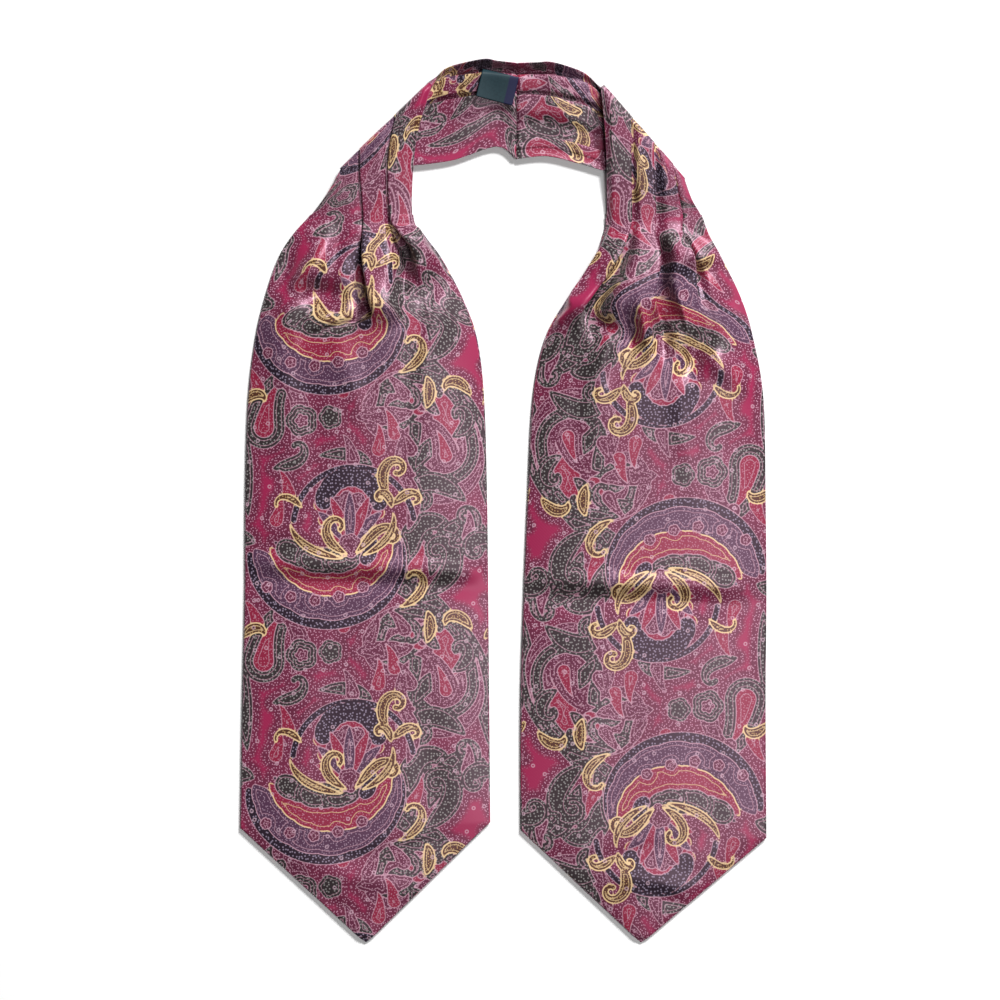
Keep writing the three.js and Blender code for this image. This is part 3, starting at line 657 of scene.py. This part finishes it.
def printed_silk():
    """Silk twill printed with paisley: plum ground stippled near the motifs and crimson between them, grey
    and navy dotted leaves, gold and pink lines, and a soft satin gloss."""
    material = bpy.data.materials.new("printed_silk")
    material.use_nodes = True
    tree = material.node_tree
    shader = tree.nodes["Principled BSDF"]
    cloth = attribute(tree, "cloth").outputs["Vector"]
    field = {name: attribute(tree, name).outputs["Fac"] for name in PRINT_FIELDS}
    fine = dots(tree, cloth, *FINE_DOTS)
    bold = dots(tree, cloth, *BOLD_DOTS)
    shade = add_node(tree, "ShaderNodeTexNoise", set_noise_dimensions="2D", Vector=cloth, Scale=0.05,
                     Detail=2.0, Roughness=0.5).outputs["Fac"]
    ground = blended(tree, shade, srgb(82, 26, 48), srgb(120, 41, 70))
    stippled = falling(tree, field["near"], STIPPLE_REACH, STIPPLE_SOFT)
    colour = blended(tree, stippled, srgb(150, 32, 74), ground)
    colour = blended(tree, times(tree, fine, times(tree, stippled, 0.8)), colour, srgb(210, 154, 178))
    cells = add_node(tree, "ShaderNodeTexVoronoi", set_voronoi_dimensions="2D", Vector=cloth,
                     Scale=1 / FLORET_SPACING)
    ring = worked_out(tree, "SUBTRACT", cells.outputs["Distance"], FLORET_RADIUS)
    ring = worked_out(tree, "ABSOLUTE", ring)
    floret = falling(tree, ring, FLORET_LINE, FLORET_LINE / 2)
    line = blended(tree, field["gilt"], srgb(186, 142, 158), srgb(228, 196, 148))
    # Columns of a fill: name, dye, dots, dye of the dots, their strength, depth of the inner line in mm
    fills = (
        ("rose", srgb(136, 30, 58), fine, srgb(208, 150, 170), 0.5, 3.0),
        ("plum", srgb(92, 34, 58), fine, srgb(204, 150, 174), 0.75, 2.0),
        ("leaf", srgb(46, 40, 41), bold, srgb(150, 146, 144), 0.85, 1.9),
        ("navy", srgb(30, 20, 33), bold, srgb(152, 138, 160), 0.8, 30.0),
        ("violet", srgb(76, 46, 70), fine, srgb(174, 146, 166), 0.7, 2.6),
        ("brown", srgb(78, 46, 30), fine, srgb(212, 172, 112), 0.75, 1.7),
    )
    for name, base, dot, dot_colour, share, inner_line in fills:
        spotted = blended(tree, times(tree, dot, share), base, dot_colour)
        inner = worked_out(tree, "ADD", field[name], inner_line)
        inner = worked_out(tree, "ABSOLUTE", inner)
        inner = falling(tree, inner, INNER_LINE, LINE_SOFT)
        spotted = blended(tree, times(tree, inner, 0.7), spotted, line)
        colour = blended(tree, falling(tree, field[name], 0.0, LINE_SOFT), colour, spotted)
    for name in FILLS:
        from_rim = worked_out(tree, "ABSOLUTE", field[name])
        width = worked_out(tree, "MULTIPLY_ADD", field["gilt"], GOLD_WIDER, PINK_LINE)
        outline = falling(tree, worked_out(tree, "SUBTRACT", from_rim, width), 0.0, LINE_SOFT)
        colour = blended(tree, times(tree, outline, 0.75), colour, line)
    colour = blended(tree, times(tree, floret, 0.5), colour, srgb(216, 180, 196))
    tree.links.new(colour, shader.inputs["Base Color"])
    shader.inputs["Roughness"].default_value = 0.42
    shader.inputs["Specular IOR Level"].default_value = 0.6
    shader.inputs["Specular Tint"].default_value = srgb(255, 214, 234)
    shader.inputs["Sheen Weight"].default_value = 0.1
    shader.inputs["Sheen Roughness"].default_value = 0.4
    twill = add_node(tree, "ShaderNodeTexWave", Vector=cloth, Scale=0.32, Distortion=0.4)
    twill.bands_direction = "DIAGONAL"
    bump = add_node(tree, "ShaderNodeBump", Strength=0.06, Distance=0.0002, Height=twill.outputs["Fac"])
    tree.links.new(bump.outputs["Normal"], shader.inputs["Normal"])
    return material


silk = printed_silk()
for name, half in (("left", LEFT), ("right", RIGHT)):
    rings, along, front_columns = blade_rings(half)
    blade, cut_length, cut_area = silk_mesh(f"blade_{name}", rings, along, front_columns, half)
    blade.data.materials.append(silk)
    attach(blade, "root")
    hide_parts(f"blade_front_{name}", f"blade_back_{name}")

# Neckband: the same silk, pleated to a narrow strip and pressed, with an interlining inside.
# It runs up from each blade, rolls over at the corner and lies inside out behind the neck.
BAND_SPACING, BAND_SKIN, BAND_BULGE, BAND_EDGE_STEPS = 0.9, 0.25, 0.25, 4
GROOVE_PLACE, GROOVE_WIDTH, GROOVE_STARTS_OVER = 4.0, 2.8, 16
SEAM_WIDTH, TABLE_CLEAR = 0.8, 0.05


def groove_shape(from_edge):
    """Bell curve of the groove that runs just inside the band's inner edge, 1 at its deepest."""
    return np.exp(-((from_edge - GROOVE_PLACE) / GROOVE_WIDTH) ** 2)


def band_rings(half, start, end, groove, dip):
    """Shell round the pleated strip: upper skin, round edge, lower skin and round edge, ring by ring. A
    bell-shaped groove runs just inside the inner edge, and the last rings dip into the seam."""
    place, along = even_places(half, start, end, BAND_SPACING)
    row = stations(half, place)
    middle = pleated(half, place, [])
    skin = BAND_SKIN * pressed(place)[:, None, None]
    upper, lower = offset(middle, skin), offset(middle, -skin)[:, ::-1]
    outward = edges_outward(row)
    bulge = np.full((len(place), 1, 1), BAND_BULGE)
    outer = edge_roll(upper[:, -1], lower[:, 0], outward, bulge, BAND_EDGE_STEPS)
    inner = edge_roll(lower[:, -1], upper[:, 0], -outward, bulge, BAND_EDGE_STEPS)
    rings = np.concatenate([upper, outer, lower, inner, upper[:, :1]], axis=1)
    from_edge = np.linalg.norm(rings[..., :2] - row[:, None, :2], axis=2)
    rings[..., 2] -= groove * ease(along / GROOVE_STARTS_OVER)[:, None] * groove_shape(from_edge)
    rings[..., 2] -= dip * np.exp(-((along[-1] - along[:, None]) / SEAM_WIDTH) ** 2)
    rings[..., 2] = np.maximum(rings[..., 2], TABLE_CLEAR)
    return rings, along, upper.shape[1]


for name, half in (("left", LEFT), ("right", RIGHT)):
    rings, along, front_columns = band_rings(half, NECK_LINE, BAND_JOIN, 0, 0)
    band, cut_length, cut_area = silk_mesh(f"band_{name}", rings, along, front_columns, half)
    band.data.materials.append(silk)
    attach(band, "root")
    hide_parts(f"neckband_{name}")

# Band behind the neck: the last stretch of each half, the same pressed silk, lying inside face up.
# Its upper edge stands off the table, with a groove below it, and the two halves are sewn together
# in a seam at the centre back, which pulls the cloth down along its line.
RIM_GROOVE, SEAM_DIP, BEHIND_START = 5.5, 1.2, 92
for name, half in (("left", LEFT), ("right", RIGHT)):
    rings, along, front_columns = band_rings(half, BAND_JOIN, CENTRE_BACK, RIM_GROOVE, SEAM_DIP)
    along += BEHIND_START
    end, cut_length, cut_area = silk_mesh(f"band_behind_{name}", rings, along, front_columns, half)
    end.data.materials.append(silk)
    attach(end, "root")
    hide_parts(f"neckband_back_{name}")

# Label: a short length of dark satin ribbon with a blue selvedge, folded double.
# Its upper end is stitched down in the groove below the band's standing edge, beside the seam,
# and its lower end lies loose on the band, on a slant.
LABEL_WIDE, LABEL_TALL, LABEL_THICK, LABEL_TURN = 23.0, 17.5, 0.8, np.radians(-14)
LABEL_MIDDLE, LABEL_GRID = (-4.0, 257.4), (41, 29)
LABEL_CLEAR, LABEL_LIFT, LABEL_RIPPLE = 0.3, 2.2, 0.25
SEAM_TOP, SEAM_LENGTH = 271.6, 57.9
RIM_LINE, RIM_SLANT = 272.6, 0.11


def label_grid(thickness):
    """Ribbon on a slant over the band: it follows the band's slope and groove, and lifts towards its free
    corner."""
    across, up = np.meshgrid(*(np.linspace(-0.5, 0.5, count) for count in LABEL_GRID))
    x, y = across * LABEL_WIDE, up * LABEL_TALL
    side = LABEL_MIDDLE[0] + x * np.cos(LABEL_TURN) - y * np.sin(LABEL_TURN)
    along = LABEL_MIDDLE[1] + x * np.sin(LABEL_TURN) + y * np.cos(LABEL_TURN)
    share = (SEAM_TOP - along) / SEAM_LENGTH
    slope = RIM + (BAND_REST - RIM) * share + SAG * (1 - np.abs(2 * share - 1) ** 3)
    height = slope + SILK + LABEL_CLEAR + LABEL_LIFT * (0.5 - across) * (0.5 - up)
    height += LABEL_RIPPLE * np.sin(5 * across + 2 * up)
    height -= RIM_GROOVE * groove_shape(RIM_LINE - RIM_SLANT * side - along)
    return np.stack([side, along, height + thickness], axis=-1)


upper, lower = label_grid(LABEL_THICK / 2), label_grid(-LABEL_THICK / 2)
grid_rows, grid_columns = upper.shape[:2]
index = np.arange(grid_rows * grid_columns).reshape(grid_rows, grid_columns)
top = grid_faces(grid_rows, grid_columns)
rim = np.concatenate([index[0], index[1:, -1], index[-1, -2::-1], index[-2:0:-1, 0]])
below = index.size
walls = np.stack([rim, rim + below, np.roll(rim, -1) + below, np.roll(rim, -1)], axis=-1)
label_mesh = bpy.data.meshes.new("label")
label_points = np.concatenate([upper.reshape(-1, 3), lower.reshape(-1, 3)]) * MM
label_mesh.from_pydata(label_points, [], np.concatenate([top, top[:, ::-1] + below, walls]))
label_mesh.update()
label_mesh.shade_smooth()
selvedge = label_mesh.attributes.new("across", "FLOAT", "POINT")
across_ribbon = np.tile(np.linspace(-0.5, 0.5, grid_columns), 2 * grid_rows)
selvedge.data.foreach_set("value", across_ribbon.astype(np.float32))
label = bpy.data.objects.new("ribbon_label", label_mesh)
bpy.context.scene.collection.objects.link(label)

SELVEDGE_FROM, SELVEDGE_SOFT = 0.26, 0.015
satin = bpy.data.materials.new("label_satin")
satin.use_nodes = True
satin_tree = satin.node_tree
satin_shader = satin_tree.nodes["Principled BSDF"]
where = add_node(satin_tree, "ShaderNodeTexCoord").outputs["Object"]
weave = add_node(satin_tree, "ShaderNodeTexNoise", Vector=where, Scale=900.0, Detail=2.0).outputs["Fac"]
teal = blended(satin_tree, weave, srgb(16, 38, 46), srgb(32, 58, 66))
ribbon_across = attribute(satin_tree, "across").outputs["Fac"]
inside_selvedge = falling(satin_tree, ribbon_across, SELVEDGE_FROM, SELVEDGE_SOFT)
satin_colour = blended(satin_tree, inside_selvedge, srgb(24, 26, 62), teal)
satin_tree.links.new(satin_colour, satin_shader.inputs["Base Color"])
satin_shader.inputs["Roughness"].default_value = 0.55
satin_shader.inputs["Specular IOR Level"].default_value = 0.3
label.data.materials.append(satin)
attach(label, "root")
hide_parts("label")

# Table: a plain white board, on which the cravat is laid out. A wide lamp stands above its upper right side
# like a window, a smaller one hangs nearly overhead, and the camera looks straight down.
TABLE_HALF, TABLE_DROP = 4, 0.0003
table_corners = [(x * TABLE_HALF, y * TABLE_HALF, 0) for x, y in ((-1, -1), (1, -1), (1, 1), (-1, 1))]
table_mesh = bpy.data.meshes.new("table")
table_mesh.from_pydata(table_corners, [], [(0, 1, 2, 3)])
table = bpy.data.objects.new("table", table_mesh)
table.location.z = -TABLE_DROP
bpy.context.scene.collection.objects.link(table)
table_white = bpy.data.materials.new("table_white")
table_white.use_nodes = True
table_shader = table_white.node_tree.nodes["Principled BSDF"]
table_shader.inputs["Base Color"].default_value = (1, 1, 1, 1)
table_shader.inputs["Roughness"].default_value = 0.8
table.data.materials.append(table_white)


def soft_lamp(name, place, size, power):
    """Square area lamp at a place, aimed at the middle of the table."""
    data = bpy.data.lights.new(name, "AREA")
    data.energy, data.size = power, size
    lamp = bpy.data.objects.new(name, data)
    lamp.location = place
    aim = np.array(place) / np.linalg.norm(place)
    lamp.rotation_euler = (np.arccos(aim[2]), 0, np.arctan2(aim[1], aim[0]) + np.pi / 2)
    bpy.context.scene.collection.objects.link(lamp)


soft_lamp("window", (1.6, 3.0, 2.5), 1.0, 258)
soft_lamp("overhead", (0.6, -0.25, 2.2), 0.6, 17)
world = bpy.data.worlds.new("studio")
world.use_nodes = True
world.node_tree.nodes["Background"].inputs["Color"].default_value = (1, 1, 1, 1)
world.node_tree.nodes["Background"].inputs["Strength"].default_value = 0.06
bpy.context.scene.world = world

VIEW_WIDTH, CAMERA_HEIGHT, SENSOR = 0.625, 1.7, 36
CAMERA_MIDDLE = (-0.0025, 0.0009)
camera_data = bpy.data.cameras.new("camera")
camera_data.sensor_width = SENSOR
camera_data.lens = SENSOR * CAMERA_HEIGHT / VIEW_WIDTH
camera = bpy.data.objects.new("camera", camera_data)
camera.location = (*CAMERA_MIDDLE, CAMERA_HEIGHT)
bpy.context.scene.collection.objects.link(camera)
bpy.context.scene.camera = camera
bpy.context.scene.view_settings.view_transform = "Standard"
